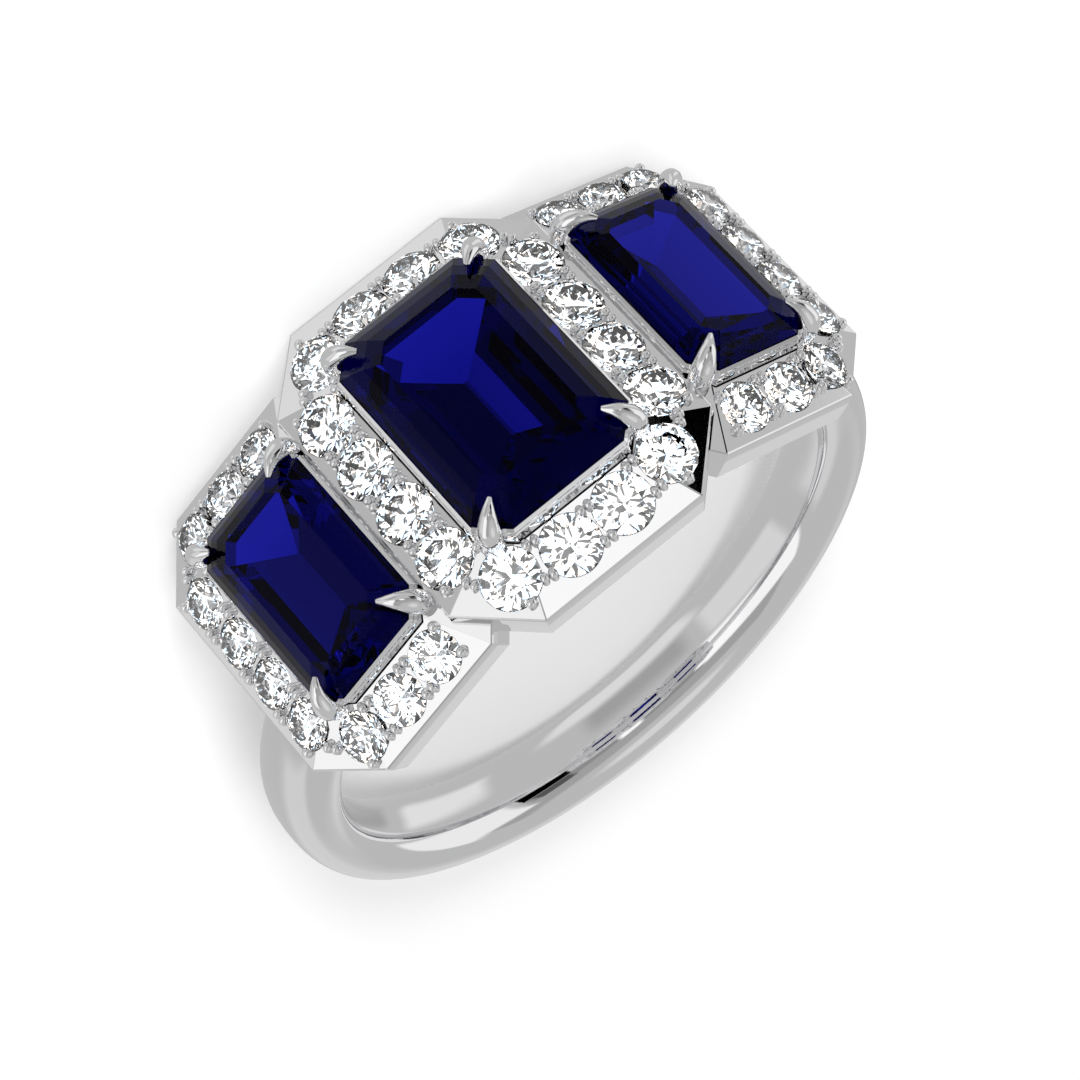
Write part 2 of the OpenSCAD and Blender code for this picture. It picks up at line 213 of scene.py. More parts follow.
def cut(points, faces, cutters, name):
    """A solid less each of its cutters, in millimetres, through Blender's exact boolean. Returns arrays."""
    solid = bpy.data.objects.new(name, mesh_of(name, points, faces))
    tools = [bpy.data.objects.new(f"{name}_tool", mesh_of(f"{name}_tool", *cutter)) for cutter in cutters]
    for o in (solid, *tools):
        bpy.context.collection.objects.link(o)
    for tool in tools:
        boolean = solid.modifiers.new("cut", "BOOLEAN")
        boolean.object, boolean.operation, boolean.solver = tool, "DIFFERENCE", "EXACT"
    result = bpy.data.meshes.new_from_object(solid.evaluated_get(bpy.context.evaluated_depsgraph_get()))
    flat = np.empty(len(result.vertices) * 3)
    result.vertices.foreach_get("co", flat)
    polygons = [list(p.vertices) for p in result.polygons]
    for o in (solid, *tools):
        mesh = o.data
        bpy.data.objects.remove(o)
        bpy.data.meshes.remove(mesh)
    bpy.data.meshes.remove(result)
    by_size = {}
    for p in polygons:
        by_size.setdefault(len(p), []).append(p)
    return flat.reshape(-1, 3), [np.array(group) for group in by_size.values()]


def piece(name, points, faces, material, slot, nodes, smooth=False, sharp=None):
    """A piece of the ring from upright millimetres, laid down in row metres, in place of its CAD nodes."""
    mesh = mesh_of(name, laid(points.reshape(-1, 3)), faces, smooth)
    if sharp:
        mesh.set_sharp_from_angle(angle=np.radians(sharp))
    mesh.materials.append(material)
    obj = bpy.data.objects.new(name, mesh)
    bpy.context.collection.objects.link(obj)
    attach(obj, "root")
    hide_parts(*nodes)
    return obj


# Materials

# Widths in millimetres of the polishing marks on metal, the polish on stones and the fibres of the paper.
# The real ones are finer: these are drawn as coarse as they need to show. Depths are in metres.
SCRATCH_MM, POLISH_MM, FIBRE_MM, SCRATCH_DEEP, FIBRE_DEEP = 0.111, 0.4, 1.11, 0.00002, 0.0001
GEM_ROUGH = 0.006


def metal(name, colour, low, high, grain_mm, scratch):
    """Metal with a roughness that drifts between two values over grain_mm, and fine polishing marks."""
    material = bpy.data.materials.new(name)
    material.use_nodes = True
    tree = material.node_tree
    tree.nodes.clear()
    place = add(tree, "ShaderNodeTexCoord").outputs["Object"]
    cloud = add(tree, "ShaderNodeTexNoise", {"Vector": place, "Scale": 1000 / grain_mm, "Detail": 3.0})
    drift = {"Value": cloud.outputs["Fac"], "From Min": 0.3, "From Max": 0.7, "To Min": low, "To Max": high}
    rough = add(tree, "ShaderNodeMapRange", drift)
    lines = add(tree, "ShaderNodeTexNoise", {"Vector": place, "Scale": 1000 / SCRATCH_MM, "Detail": 2.0})
    bump = add(tree, "ShaderNodeBump", {"Height": lines.outputs["Fac"], "Strength": scratch,
                                        "Distance": SCRATCH_DEEP})
    look = {"Base Color": linear(colour), "Metallic": 1.0, "Roughness": rough.outputs["Result"],
            "Normal": bump.outputs["Normal"]}
    shader = add(tree, "ShaderNodeBsdfPrincipled", look)
    add(tree, "ShaderNodeOutputMaterial", {"Surface": shader.outputs["BSDF"]})
    return material


def gemstone(name, tint, ior, gloss, absorbed, density):
    """A clear cut stone: tinted glass with a polish, and colour that deepens along the path inside."""
    material = bpy.data.materials.new(name)
    material.use_nodes = True
    tree = material.node_tree
    tree.nodes.clear()
    place = add(tree, "ShaderNodeTexCoord").outputs["Object"]
    polish = add(tree, "ShaderNodeTexNoise", {"Vector": place, "Scale": 1000 / POLISH_MM, "Detail": 2.0})
    rough = add(tree, "ShaderNodeMapRange", {"Value": polish.outputs["Fac"], "To Min": 0.0,
                                             "To Max": GEM_ROUGH})
    look = {"Base Color": linear(tint), "IOR": ior, "Transmission Weight": 1.0,
            "Specular Tint": linear(gloss), "Roughness": rough.outputs["Result"]}
    shader = add(tree, "ShaderNodeBsdfPrincipled", look)
    links = {"Surface": shader.outputs["BSDF"]}
    if density:
        inside = add(tree, "ShaderNodeVolumeAbsorption", {"Color": linear(absorbed), "Density": density})
        links["Volume"] = inside.outputs["Volume"]
    add(tree, "ShaderNodeOutputMaterial", links)
    return material


# 18 carat white gold under rhodium plate, mirror polished: near-white reflections, hardly blurred
white_gold = metal("rhodium_plated_white_gold", "#EEEEEF", low=0.015, high=0.05, grain_mm=2.5, scratch=0.02)
# The same metal where a wheel doesn't reach, on the galleries under the plates: satin
satin_gold = metal("satin_white_gold", "#DCDCDE", low=0.16, high=0.26, grain_mm=0.8, scratch=0.15)
# Blue corundum: deep royal blue that turns near-black where the path inside is long
sapphire = gemstone("blue_sapphire", "#2C2FDC", ior=1.77, gloss="#343252", absorbed="#8489D2",
                    density=600.0)
# Colourless diamond, which bends light far more than sapphire does
diamond = gemstone("colourless_diamond", "#FDFEFF", ior=2.42, gloss="#FFFFFF", absorbed="#FFFFFF",
                   density=0.0)

# Halos: distance between neighbours in a row, of a row from the plate's edge, and the corner diamonds
CENTRE_PITCH, CENTRE_END_IN, CENTRE_CORNER = 1.69, 1.05, (2.55, 4.13)
SIDE_PITCH, SIDE_END_IN, SIDE_CORNER, SIDE_END_X = 1.53, 0.87, (2.0, 3.75), (-0.94, 0.56)
ROW_IN, END_BEAD_SHARE = 0.88, 0.42


def roof_z(plate, x, y):
    """Height of a plate's roof over its outer edge: the distance to the nearest side, times the slope's
    tangent."""
    x, y = np.abs(x), np.abs(y)
    inset = np.minimum(np.minimum(plate[0] / 2 - x, plate[1] / 2 - y),
                       (plate[0] / 2 + plate[1] / 2 - plate[2] - x - y) / np.sqrt(2))
    return np.tan(SLOPE) * inset


def long_row(x, pitch, way):
    """Four sites (x, y, way) in a row at x, a pitch apart, centred on y = 0."""
    return [(x, k * pitch, way) for k in (1.5, 0.5, -0.5, -1.5)]


centre_row_x, centre_end_y = CENTRE["plate"][0] / 2 - ROW_IN, CENTRE["plate"][1] / 2 - CENTRE_END_IN
half_round = (
    [(*CENTRE_CORNER, 45)]
    + long_row(centre_row_x, CENTRE_PITCH, 0)
    + [(CENTRE_CORNER[0], -CENTRE_CORNER[1], -45)]
    + [(k * CENTRE_PITCH, -centre_end_y, -90) for k in (0.5, -0.5)]
)
centre_sites = np.array(half_round + [(-x, -y, way + 180) for x, y, way in half_round])
side_row_x, side_row_y = SIDE["plate"][0] / 2 - ROW_IN, SIDE["plate"][1] / 2 - SIDE_END_IN
side_sites = np.array(
    [(x, side_row_y, 90) for x in SIDE_END_X]
    + [(*SIDE_CORNER, 45)]
    + long_row(side_row_x, SIDE_PITCH, 0)
    + [(SIDE_CORNER[0], -SIDE_CORNER[1], -45)]
    + [(x, -side_row_y, -90) for x in SIDE_END_X[::-1]]
)


def bead_pairs(sites, closed):
    """Four beads round every gap between neighbours, across the row and along it from the gap's middle.
    Each is (x, y, the row's way, half width along it, half width across it)."""
    a, b = (sites, np.roll(sites, -1, 0)) if closed else (sites[:-1], sites[1:])
    along = (b - a)[:, :2] / np.linalg.norm((b - a)[:, :2], axis=1)[:, None]
    across = np.stack((-along[:, 1], along[:, 0]), -1)
    s, t = (v.reshape(-1, 1, 1) for v in np.meshgrid((-1, 1), (-1, 1)))
    at = ((a + b)[None, :, :2] / 2 + s * BEAD_ACROSS * across + t * BEAD_ALONG * along).reshape(-1, 2)
    way = np.tile(np.arctan2(along[:, 1], along[:, 0]), 4)
    return np.column_stack((at, way, np.tile(PAIR_BEAD, (len(at), 1))))


def lone(at):
    """Round beads at the given points."""
    return np.column_stack((at, np.zeros(len(at)), np.tile(LONE_BEAD, (len(at), 1))))


def around(x, y, radius, degrees):
    """The point at a radius and an angle from (x, y)."""
    return x + radius * np.cos(np.radians(degrees)), y + radius * np.sin(np.radians(degrees))


# Lone beads at the corners, each at an angle in degrees from its diamond's middle, and at the rows' ends
corner_bead = np.array((around(*CENTRE_CORNER, CENTRE["diamond"] / 2, 90),
                        around(centre_row_x, 1.5 * CENTRE_PITCH, CENTRE["diamond"] / 2, 52)))
centre_beads = np.concatenate((bead_pairs(centre_sites, True),
                               *(lone(corner_bead * (sx, sy)) for sx in (-1, 1) for sy in (-1, 1))))
end_bead_x = SIDE_END_X[0] - END_BEAD_SHARE * SIDE["diamond"]
end_bead = np.array((around(*SIDE_CORNER, SIDE["diamond"] / 2, 62),
                     around(side_row_x, 1.5 * SIDE_PITCH, SIDE["diamond"] / 2, 40),
                     (end_bead_x, side_row_y + BEAD_ACROSS), (end_bead_x, side_row_y - BEAD_ACROSS)))
side_beads = np.concatenate((bead_pairs(side_sites, False), lone(end_bead), lone(end_bead * (1, -1))))
CENTRE.update(sites=centre_sites, beads=centre_beads)
SIDE.update(sites=side_sites, beads=side_beads)


def at_sites(points, head):
    """One shape at every site: tipped by the slope about y, turned to its facet, put on the roof."""
    way = np.radians(head["sites"][:, 2])[:, None]
    x = np.cos(SLOPE) * points[None, :, 0] + np.sin(SLOPE) * points[None, :, 2]
    z = np.cos(SLOPE) * points[None, :, 2] - np.sin(SLOPE) * points[None, :, 0]
    y = np.broadcast_to(points[None, :, 1], x.shape)
    sx, sy = head["sites"][:, :1], head["sites"][:, 1:2]
    return np.stack((sx + np.cos(way) * x - np.sin(way) * y, sy + np.sin(way) * x + np.cos(way) * y,
                     z + roof_z(head["plate"], sx, sy)), -1)


def copies(points, faces):
    """The same faces for every copy of a shape: (copies, n, 3) points as one mesh."""
    first = points.shape[1] * np.arange(points.shape[0])[:, None, None]
    return points.reshape(-1, 3), [(group[None] + first).reshape(-1, group.shape[1]) for group in faces]


# The shapes of one head, in its own frame


def halo_plate(head):
    """An octagonal wall that leans in below its rim, and a roof that rises by the slope's tangent times its
    inset."""
    top = (head["plate"][1] - head["gem"][1]) / 2
    profile = rounded([(WALL_IN, -PLATE_T), (0, -RIM_H), (0, 0), (top, top * np.tan(SLOPE))], PLATE_ROUND)
    rings = octagon_rings(head["plate"], profile)
    return rings, capped(rings)


def well(head):
    """What a plate loses for its sapphire: a moat down to its floor, and a narrower hole through that."""
    hole, moat_floor = RAIL_IN + RAIL_T, -PLATE_T + FLOOR_T
    profile = [(hole, -PLATE_T - 1), (hole, moat_floor), (-WELL_GAP, moat_floor), (-WELL_GAP, ABOVE_ALL)]
    rings = octagon_rings(head["gem"], profile, 0, 1)
    return rings, capped(rings)


def seats(head, first):
    """What every second diamond takes out of the metal: the stone, grown by a gap."""
    d = head["diamond"]
    r, g = d / 2 + GIRDLE_GAP, GIRDLE_SHARE * d / 2
    top, foot = g + CROWN_SHARE * d + STONE_GAP, -g - PAVILION_SHARE * d - SEAT_FOOT_GAPS * STONE_GAP
    seat = lathe([(0.001, foot), (r, -g - STONE_GAP / 2), (r, g + STONE_GAP / 2),
                  (TABLE_SHARE * d / 2 + STONE_GAP, top), (0.001, top)], SEAT_SIDES)
    return copies(at_sites(seat.reshape(-1, 3), head)[first::2], capped(seat))


def light_holes(head):
    """A drilled hole from below to the point of every seat."""
    deep, way = PAVILION_SHARE * head["diamond"], np.radians(head["sites"][:, 2])
    up = roof_z(head["plate"], *head["sites"][:, :2].T) - LIGHT_REACH * deep
    foot = head["sites"][:, :2] - deep * np.sin(SLOPE) * np.stack((np.cos(way), np.sin(way)), -1)
    drill = lathe([(LIGHT_R, -2 * PLATE_T), (LIGHT_R, 0)], DRILL_SIDES)
    points = np.broadcast_to(drill.reshape(1, -1, 3), (len(up), 2 * DRILL_SIDES, 3)).copy()
    points[..., :2] += foot[:, None]
    points[:, DRILL_SIDES:, 2] = up[:, None]
    return copies(points, capped(drill))


def rail(head):
    """A ring round the sapphire in two tiers: a sloped lip beside the girdle, a groove, and a wider step
    below it. The stone's room is cut out of its inside."""
    lift, foot, inner = head["lift"], SUNK - PLATE_T, RAIL_IN + RAIL_T
    profile = rounded([*((inset, lift + up) for inset, up in LIP_ROWS), (-RAIL_OUT, foot), (inner, foot),
                       (inner, lift - RAIL_SEAT)], RAIL_ROUND, closed=True)
    rings = octagon_rings(head["gem"], profile[::-1])
    return rings, [grid_faces(*rings.shape[:2], wrap_rows=True)]


def gallery(head):
    """A tapered octagonal wall under the plate, thicker than a rail, open inside."""
    top, low = SUNK - PLATE_T, -GALLERY_DEPTH
    profile = rounded([(GALLERY_TAPER - GALLERY_OUT, low), (-GALLERY_OUT, top),
                       (GALLERY_T - GALLERY_OUT, top), (GALLERY_TAPER - GALLERY_OUT + GALLERY_T, low)],
                      GALLERY_ROUND, closed=True)
    rings = octagon_rings(head["gem"], profile, GALLERY_CORNER)
    return rings, [grid_faces(*rings.shape[:2], wrap_rows=True)]


# A claw from its root in the plate to its tip: out from the middle of the stone's cut corner, up from the
# girdle, and radius
CLAW_ROWS = np.array((
    (-0.18, -1.9, 0.2), (-0.02, -0.9, 0.25), (0.22, -0.28, 0.33), (0.23, 0.17, 0.33), (0.01, 0.49, 0.25),
    (-0.22, 0.62, 0.17), (-0.46, 0.67, 0.09), (-0.51, 0.675, 0.065), (-0.53, 0.677, 0.02),
))
CLAW_STEPS = 6


def smooth_path(rows, steps):
    """A Catmull-Rom curve through the rows, each stretch cut into steps."""
    p = np.concatenate((2 * rows[:1] - rows[1:2], rows, 2 * rows[-1:] - rows[-2:-1]))
    t = np.linspace(0, 1, steps, endpoint=False)[None, :, None]
    a, b, c, d = (p[k:len(p) - 3 + k, None] for k in range(4))
    bend, twist = 2 * a - 5 * b + 4 * c - d, 3 * b - a - 3 * c + d
    curve = 0.5 * (2 * b + (c - a) * t + bend * t ** 2 + twist * t ** 3)
    return np.concatenate((curve.reshape(-1, rows.shape[1]), rows[-1:]))


def claws(head):
    """Four talons: a round section carried along a path in the upright plane through each cut corner."""
    rows = smooth_path(CLAW_ROWS, CLAW_STEPS)
    step = np.gradient(rows[:, :2], axis=0)
    step /= np.linalg.norm(step, axis=1)[:, None]
    t = 2 * np.pi * np.arange(CLAW_SIDES) / CLAW_SIDES
    up, wide = np.cos(t), np.sin(t)
    lift = rows[:, 2:3] * up
    flat = np.stack((rows[:, :1] + lift * step[:, 1:], rows[:, 1:2] - lift * step[:, :1]), -1)
    gem, parts = head["gem"], []
    for sx in (-1, 1):
        for sy in (-1, 1):
            out, side = np.array((sx, sy)) / np.sqrt(2), np.array((-sy, sx)) / np.sqrt(2)
            corner = np.array((sx * (gem[0] - gem[2]) / 2, sy * (gem[1] - gem[2]) / 2))
            plan = corner + flat[..., :1] * out + (rows[:, 2:3] * wide)[..., None] * side
            rings = np.concatenate((plan, flat[..., 1:] + head["lift"]), -1)
            parts.append((rings, capped(rings)))
    return joined(parts)


def beads(head):
    """Short oval posts with domed tops, upright on the roof: a straight wall and then a quarter circle."""
    a = np.radians(DOME_DEGREES)
    dome = zip(np.cos(a), BEAD_TOP - BEAD_DOME + BEAD_DOME * np.sin(a))
    bead = lathe([(1, BEAD_FOOT), *dome], BEAD_SIDES)
    x, y, way, along, across = head["beads"].T[..., None]
    u, v, up = bead.reshape(1, -1, 3).transpose(2, 0, 1)
    points = np.stack((x + np.cos(way) * along * u - np.sin(way) * across * v,
                       y + np.sin(way) * along * u + np.cos(way) * across * v,
                       roof_z(head["plate"], x, y) + up), -1)
    return copies(points, capped(bead))


def emerald_cut(head, gap=0.0):
    """Octagons from the keel to the table: pavilion steps, girdle, crown steps. Each is inset by a share of
    the half width and raised by another, its cut corners narrow with the share, and it grows by the gap."""
    gem, half, edge = head["gem"], head["gem"][0] / 2, GIRDLE_HALF + gap
    steps = ([(s, -edge - half * u) for s, u in PAVILION_STEPS[::-1]] + [(0, -edge), (0, edge)]
             + [(s, edge + half * u) for s, u in CROWN_STEPS])
    rings = []
    for share, up in steps:
        corner = gem[2] * (1 - CUT_NARROWS * share) + share * half * (2 - np.sqrt(2))
        narrowed = (gem[0], gem[1], corner)
        rings.append(octagon_rings(narrowed, [(share * half - gap, up + head["lift"])], 0, 1)[0])
    rings = np.array(rings)
    return rings, capped(rings)


def ring_of(count, radius, up, start):
    """Points (r cos a, r sin a, up) at equal angles, the first at start degrees."""
    a = np.radians(start + 360 * np.arange(count) / count)
    return np.stack((radius * np.cos(a), radius * np.sin(a), np.full(count, up)), -1)


def brilliant(d):
    """A round brilliant: table, 8 stars, 8 kites, 16 upper halves, girdle, 16 lower halves and 8 mains."""
    r, g = d / 2, GIRDLE_SHARE * d / 2
    top, foot, table_r = g + CROWN_SHARE * d, -g - PAVILION_SHARE * d, TABLE_SHARE * d / 2
    c = np.cos(np.radians(22.5))
    star_r = (table_r + STAR_SHARE * (r - table_r)) / c
    star_z = top - CROWN_SHARE * d * (star_r * c - table_r) / (r - table_r)
    low_r = LOWER_SHARE * r
    low_z = foot + PAVILION_SHARE * d * low_r * c / r
    points = np.concatenate((
        ring_of(8, table_r, top, 0), ring_of(8, star_r, star_z, 22.5), ring_of(16, r, g, 0),
        ring_of(16, r, -g, 0), ring_of(8, low_r, low_z, 22.5), ((0, 0, foot),),
    ))
    k, n = np.arange(8), np.arange(16)
    star, upper, lower, pavilion, culet = 8, 16, 32, 48, np.full(8, 56)
    faces = [
        k[None],
        np.stack((star + k, (k + 1) % 8, k), -1),
        np.stack((star + (k + 7) % 8, upper + 2 * k, star + k, k), -1),
        np.stack((upper + 2 * k, upper + 2 * k + 1, star + k), -1),
        np.stack((upper + 2 * k + 1, upper + (2 * k + 2) % 16, star + k), -1),
        np.stack((lower + n, lower + (n + 1) % 16, upper + (n + 1) % 16, upper + n), -1),
        np.stack((lower + 2 * k + 1, lower + 2 * k, pavilion + k), -1),
        np.stack((lower + (2 * k + 2) % 16, lower + 2 * k + 1, pavilion + k), -1),
        np.stack((pavilion + k, lower + 2 * k, pavilion + (k + 7) % 8, culet), -1),
    ]
    return points, faces


def halo_diamonds(head):
    """A brilliant at each site, each turned a golden angle further about its own axis."""
    points, faces = brilliant(head["diamond"])
    turn = np.radians(GOLDEN_ANGLE * np.arange(len(head["sites"])))[:, None]
    x, y = points[None, :, 0], points[None, :, 1]
    turned = np.stack((np.cos(turn) * x - np.sin(turn) * y, np.sin(turn) * x + np.cos(turn) * y,
                       np.broadcast_to(points[None, :, 2], (len(turn), len(points)))), -1)
    placed = np.stack([at_sites(turned[k], head)[k] for k in range(len(turned))])
    return copies(placed, faces)


# The ring


def band_section(count):
    """Superellipse |x / a| ** n + |y / b| ** n = 1 as (radius, along), its inside at the finger."""
    a = 2 * np.pi * (np.arange(count) + 0.5) / count
    power = lambda v: np.sign(v) * np.abs(v) ** (2 / BAND_SQUARE)
    return np.stack((FINGER_R + BAND_T / 2 * (1 + power(np.cos(a))), BAND_W / 2 * power(np.sin(a))), -1)


BAND_ROUND, BAND_TURNS = 96, 256
section = band_section(BAND_ROUND)
turns = 2 * np.pi * np.arange(BAND_TURNS) / BAND_TURNS
band = np.stack((section[:, :1] * np.sin(turns), np.broadcast_to(section[:, 1:], (BAND_ROUND, BAND_TURNS)),
                 section[:, :1] * np.cos(turns)), -1)
band_faces = [grid_faces(BAND_ROUND, BAND_TURNS, wrap_rows=True)[:, ::-1]]
ring_band = piece("band", band, band_faces, white_gold, "white_gold", ["mounting"], smooth=True)

HEADS = (("centre", CENTRE, 1), ("right", SIDE, 1), ("left", SIDE, -1))
# Smooth pieces keep an edge where their faces meet at more degrees than this
SHARP_FROM = 40
# Half the length of the cylinder that trims the galleries' feet
FINGER_CUT_HALF = 9
finger = lathe([(GALLERY_FOOT_R, -FINGER_CUT_HALF), (GALLERY_FOOT_R, FINGER_CUT_HALF)], FINGER_SIDES)
finger = finger[..., (0, 2, 1)]
finger_solid = (finger, [f[:, ::-1] for f in capped(finger)])


def upright(shape, head, side):
    """A head's shape in the upright frame, its faces outwards."""
    points, faces = shape
    return mirrored(on_head(points.reshape(-1, 3), head, side), faces, side)


# What all the stones take out of the metal, in sets whose members stay clear of each other
stone_room = [joined([upright(seats(head, first), head, side) for _, head, side in HEADS])
              for first in (0, 1)]
stone_room.append(joined([upright(emerald_cut(head, STONE_GAP), head, side) for _, head, side in HEADS]
                         + [upright(light_holes(head), head, side) for _, head, side in HEADS]))

for name, head, side in HEADS:
    for kind, shape, material, extra, smooth in (
        ("halo_plate", halo_plate, white_gold, [upright(well(head), head, side)], False),
        ("rail", rail, white_gold, [], False),
        ("gallery", gallery, satin_gold, [finger_solid], False),
        ("claws", claws, white_gold, [], True),
        ("beads", beads, white_gold, [], True),
    ):
        metal_part = cut(*upright(shape(head), head, side), extra + stone_room, kind)
        made = piece(f"{name}_{kind}", *metal_part, material, "white_gold", ["mounting"], smooth,
                     SHARP_FROM if smooth else None)
        made.visible_transmission = kind not in ("rail", "gallery")
    piece(f"{name}_emerald_cut", *upright(emerald_cut(head), head, side), sapphire, "sapphire",
          [f"{name}_sapphire"])
    piece(f"{name}_brilliants", *upright(halo_diamonds(head), head, side), diamond, "diamond",
          [f"{name}_diamond_{k + 1:02d}" for k in range(len(head["sites"]))])

# White table, soft studio light and the photograph's camera
FLOOR_HALF, PAPER, PAPER_GLOW = 1.0, "#F6F6F6", 0.1
floor_corners = FLOOR_HALF * np.array(((-1, -1, 0), (1, -1, 0), (1, 1, 0), (-1, 1, 0)), float)
floor_mesh = mesh_of("floor", floor_corners, [np.arange(4)[None]])
floor = bpy.data.objects.new("floor", floor_mesh)
paper = bpy.data.materials.new("white_paper")
paper.use_nodes = True
tree = paper.node_tree
tree.nodes.clear()
across_paper = add(tree, "ShaderNodeTexCoord").outputs["Object"]
fibre = add(tree, "ShaderNodeTexNoise", {"Vector": across_paper, "Scale": 1000 / FIBRE_MM})
height = add(tree, "ShaderNodeBump", {"Height": fibre.outputs["Fac"], "Strength": 0.05,
                                      "Distance": FIBRE_DEEP})
matt = add(tree, "ShaderNodeBsdfDiffuse", {"Color": linear(PAPER), "Normal": height.outputs["Normal"]})
glow = add(tree, "ShaderNodeEmission", {"Color": linear(PAPER), "Strength": PAPER_GLOW})
lit = add(tree, "ShaderNodeAddShader", {0: matt.outputs["BSDF"], 1: glow.outputs["Emission"]})
add(tree, "ShaderNodeOutputMaterial", {"Surface": lit.outputs["Shader"]})
floor_mesh.materials.append(paper)
bpy.context.collection.objects.link(floor)

# The metal and the stones don't reflect the table, so polished metal doesn't go flat white over it
floor.visible_glossy = floor.visible_transmission = False
# The stones look through the band, the rails and the galleries into the room, so their facets stay calm
ring_band.visible_transmission = False

# Panels of a light tent: middle azimuth and elevation, half widths, all in degrees, then level, and edge
# softness in degrees. They were simplified from a larger set whose levels had been fitted to the
# photo's tones. Azimuth 0 is behind the ring, 90 beside its right head and 180 in front of its heads.
# Later panels lie over earlier ones.
TENT_BASE = 0.55
TENT_PANELS = (
    # roof, and a dim valance in front of it
    (0, 82, 400, 9, 0.75, 12),
    (170, 42, 100, 12, 0.4, 8),
    # pale wall behind the ring, and a darker gap below it
    (335, -8, 40, 18, 0.7, 12),
    (30, -32, 20, 8, 0.4, 10),
    # under the table's edge: grey all round, pale in front
    (0, -46, 400, 11, 0.55, 12),
    (180, -52, 40, 18, 0.8, 14),
    # low reflectors on the right and the left, and a dark card between them
    (88, -27, 24, 9, 0.85, 10),
    (245, -18, 26, 12, 0.75, 8),
    (185, -19, 24, 9, 0.4, 10),
    # white walls on the right and the left, a dim strip between them, and a softbox below the camera
    (82, 21, 30, 20, 0.95, 6),
    (245, 13, 34, 16, 1.05, 5),
    (165, 25, 48, 6, 0.3, 5),
    (222, 14, 14, 12, 1.1, 4),
    # two small white cards that light the claws
    (172, 25, 6, 6, 1.1, 4),
    (202, 13, 6, 6, 1.0, 4),
    # black cards that the dark facet beside the right head reflects
    (130, 13, 12.5, 7, 0.0, 1),
    (131, 27, 10, 6, 0.1, 3),
)
# What shows through the stones, in rows like the tent's: a calm dark room with broad lamps, placed
# from a coarse fit to the photo's sapphires
ROOM_BASE = 0.2
ROOM_PANELS = (
    (8, -6, 28, 26, 0.58, 6),
    (324, -34, 18, 14, 0.50, 6),
    (102, -18, 12, 12, 0.42, 6),
    (284, -25, 12, 10, 0.42, 6),
    (126, -24, 6, 6, 0.40, 4),
    (158, -8, 24, 17, 0.12, 6),
    (174, 14, 8, 8, 0.45, 5),
    (186, 37, 8, 7, 0.50, 4),
    (240, 24, 10, 7, 0.45, 4),
)
world = bpy.data.worlds.new("light_tent")
bpy.context.scene.world = world
world.use_nodes = True
tree = world.node_tree
tree.nodes.clear()
way = add(tree, "ShaderNodeSeparateXYZ", {"Vector": add(tree, "ShaderNodeTexCoord").outputs["Generated"]})
flipped = add(tree, "ShaderNodeMath", {0: way.outputs["Y"], 1: -1.0}, operation="MULTIPLY")
turned = add(tree, "ShaderNodeMath", {0: way.outputs["X"], 1: flipped.outputs[0]}, operation="ARCTAN2")
raised = add(tree, "ShaderNodeMath", {0: way.outputs["Z"]}, operation="ARCSINE")
azimuth, elevation = turned.outputs[0], raised.outputs[0]


def off(angle, middle, half, soft, wrapped):
    """1 within half of the middle and 0 beyond, a smooth step of the angle's distance between them."""
    away = add(tree, "ShaderNodeMath", {0: angle, 1: np.radians(middle)}, operation="SUBTRACT").outputs[0]
    if wrapped:
        away = add(tree, "ShaderNodeMath", {0: away, 1: np.pi, 2: -np.pi}, operation="WRAP").outputs[0]
    away = add(tree, "ShaderNodeMath", {0: away}, operation="ABSOLUTE").outputs[0]
    edge = {"Value": away, "From Min": np.radians(half - soft / 2), "From Max": np.radians(half + soft / 2),
            "To Min": 1.0, "To Max": 0.0}
    return add(tree, "ShaderNodeMapRange", edge, interpolation_type="SMOOTHSTEP").outputs["Result"]


def painted(base, panels):
    """The panels' levels laid over the base, one after the other."""
    level = base
    for middle, height, half, half_up, panel_level, soft in panels:
        sides = {0: off(azimuth, middle, half, soft, True), 1: off(elevation, height, half_up, soft, False)}
        mask = add(tree, "ShaderNodeMath", sides, operation="MULTIPLY")
        laid_on = add(tree, "ShaderNodeMix", {"Factor": mask.outputs[0], "A": level, "B": panel_level})
        level = laid_on.outputs["Result"]
    return level


through = add(tree, "ShaderNodeLightPath").outputs["Is Transmission Ray"]
light = add(tree, "ShaderNodeMix", {"Factor": through, "A": painted(TENT_BASE, TENT_PANELS),
                                    "B": painted(ROOM_BASE, ROOM_PANELS)})
sky = add(tree, "ShaderNodeBackground", {"Color": light.outputs["Result"], "Strength": 1.0})
add(tree, "ShaderNodeOutputWorld", {"Surface": sky.outputs["Background"]})

# Two soft discs that only the table takes in: one high, and one low in front that lays the shadow behind
# the ring. Each is its name, where it stands in metres, its power in watts and its width in metres.
TABLE_DISCS = (("key", (-0.04, 0.25, 0.45), 0.85, 0.3), ("low", (0.03, 0.37, 0.15), 1.3, 0.16))
for name, at, watts, size in TABLE_DISCS:
    disc = bpy.data.lights.new(name, "AREA")
    disc.shape, disc.size, disc.energy = "DISK", size, watts
    key = bpy.data.objects.new(name, disc)
    bpy.context.collection.objects.link(key)
    key.matrix_world = Matrix.Translation(at) @ Vector(at).to_track_quat("Z", "Y").to_matrix().to_4x4()
    key.visible_glossy = key.visible_transmission = key.visible_camera = False

brilliants = bpy.data.collections.new("brilliants")
for name in ("centre", "right", "left"):
    brilliants.objects.link(bpy.data.objects[f"{name}_brilliants"])
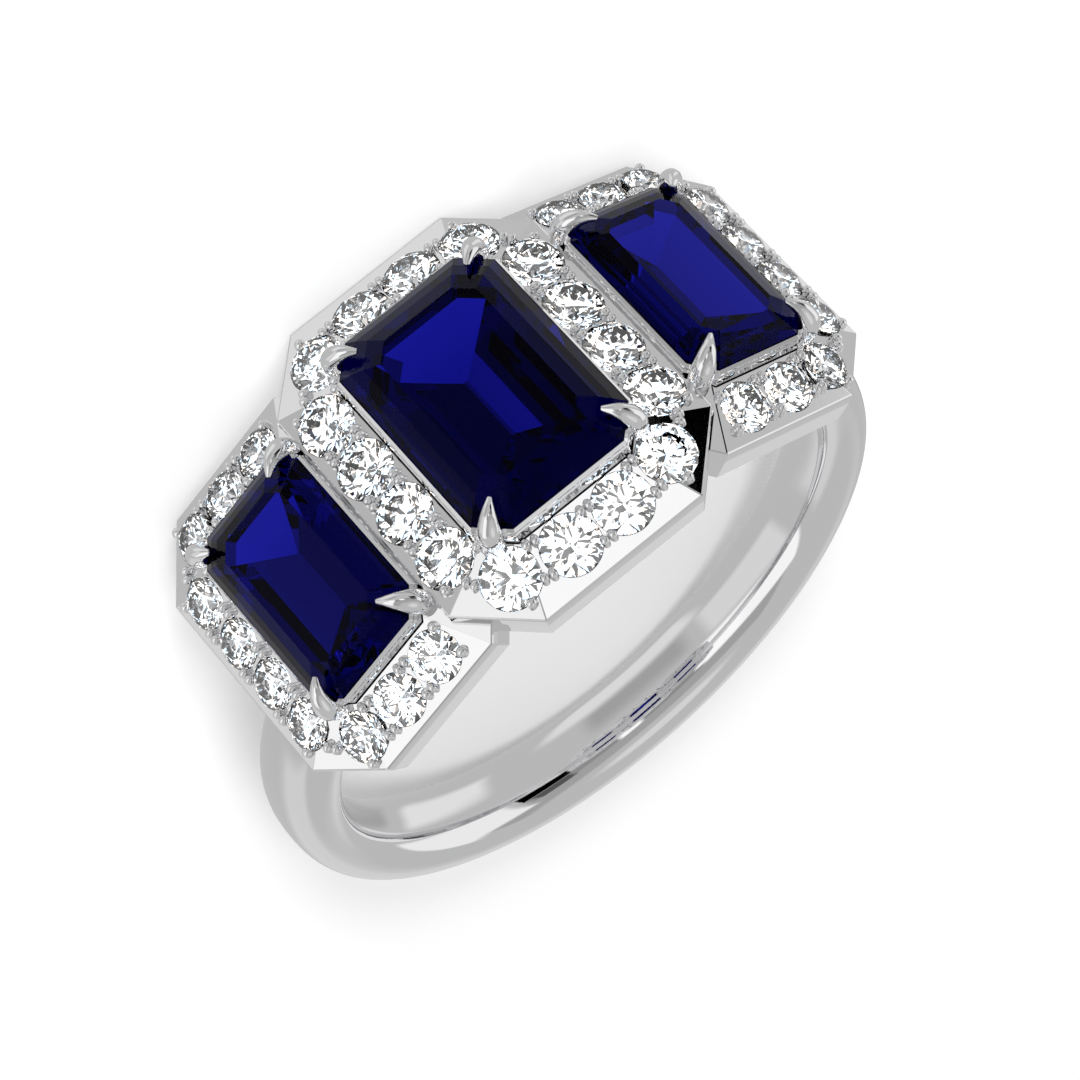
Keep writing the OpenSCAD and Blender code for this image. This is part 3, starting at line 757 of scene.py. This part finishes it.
# Round lamps that only the brilliants take in, spread evenly over a cap in front of the heads. Lamp k
# stands at sin(angle off the cap's axis / 2) = sin(CAP / 2) * sqrt((k + 0.5) / LAMPS), turned k golden
# angles about it. Every second one is tinted, cool or warm in turn, as a cut diamond parts white light.
LAMPS, CAP, LAMP_AT, LAMP_R, LAMP_LEVEL = 60, np.radians(102), 0.4, np.radians(9.6), 2.2
LAMP_TINTS = ((1, 1, 1), (0.62, 0.8, 1), (1, 1, 1), (1, 0.86, 0.74))
k = np.arange(LAMPS)
tip = 2 * np.arcsin(np.sin(CAP / 2) * np.sqrt((k + 0.5) / LAMPS))
spin = np.pi * (3 - np.sqrt(5)) * k
ways = (np.cos(tip)[:, None] * HEADWARD + (np.sin(tip) * np.cos(spin))[:, None] * ACROSS
        + (np.sin(tip) * np.sin(spin))[:, None] * FINGER_AXIS)
for number, away in enumerate(ways):
    lamp_light = bpy.data.lights.new(f"gem_lamp_{number}", "AREA")
    lamp_light.shape, lamp_light.size = "DISK", 2 * LAMP_AT * np.tan(LAMP_R)
    lamp_light.color = LAMP_TINTS[number % 4]
    lamp_light.energy = LAMP_LEVEL * np.pi ** 2 * (LAMP_AT * np.tan(LAMP_R)) ** 2
    lamp = bpy.data.objects.new(f"gem_lamp_{number}", lamp_light)
    bpy.context.collection.objects.link(lamp)
    outward = Vector(away).to_track_quat("Z", "Y")
    lamp.matrix_world = Matrix.Translation(LAMP_AT * away) @ outward.to_matrix().to_4x4()
    lamp.visible_glossy = lamp.visible_camera = lamp.visible_diffuse = False
    lamp.light_linking.receiver_collection = brilliants
BOUNCES = 24
bpy.context.scene.cycles.max_bounces = bpy.context.scene.cycles.transmission_bounces = BOUNCES

# The camera, fitted to the photo: degrees, millimetres in the row frame, and pixels
CAMERA_AZ, CAMERA_EL, CAMERA_ROLL = np.radians((189.35, 35.51, 135.8))
CAMERA_AWAY, CAMERA_AIM = 105.65, np.array((0.425, -1.065, 1.566))
FRAME_PX, FOCAL_PX, SENSOR_MM = 1080, 3674.205, 36.0
lens = bpy.data.cameras.new("camera")
lens.sensor_width, lens.lens = SENSOR_MM, SENSOR_MM * FOCAL_PX / FRAME_PX
lens.clip_start, lens.clip_end = 0.005, 10.0
camera = bpy.data.objects.new("camera", lens)
bpy.context.collection.objects.link(camera)
flat = np.cos(CAMERA_EL)
back = np.array((flat * np.sin(CAMERA_AZ), -flat * np.cos(CAMERA_AZ), np.sin(CAMERA_EL)))
level = np.array((-back[1], back[0], 0)) / flat
right = np.cos(CAMERA_ROLL) * level + np.sin(CAMERA_ROLL) * np.cross(back, level)
turn = np.array((right, np.cross(back, right), back))
camera.matrix_world = (Matrix.Translation(0.001 * (CAMERA_AIM + CAMERA_AWAY * back))
                       @ Matrix(turn.T.tolist()).to_4x4())
bpy.context.scene.camera = camera
bpy.context.scene.view_settings.view_transform = "Standard"

# The CAD nodes that the pieces above stand for are hidden, and get the same finishes
for name, node in frame["nodes"].items():
    finish = sapphire if "sapphire" in name else diamond if "diamond" in name else white_gold
    node.data.materials.clear()
    node.data.materials.append(finish)
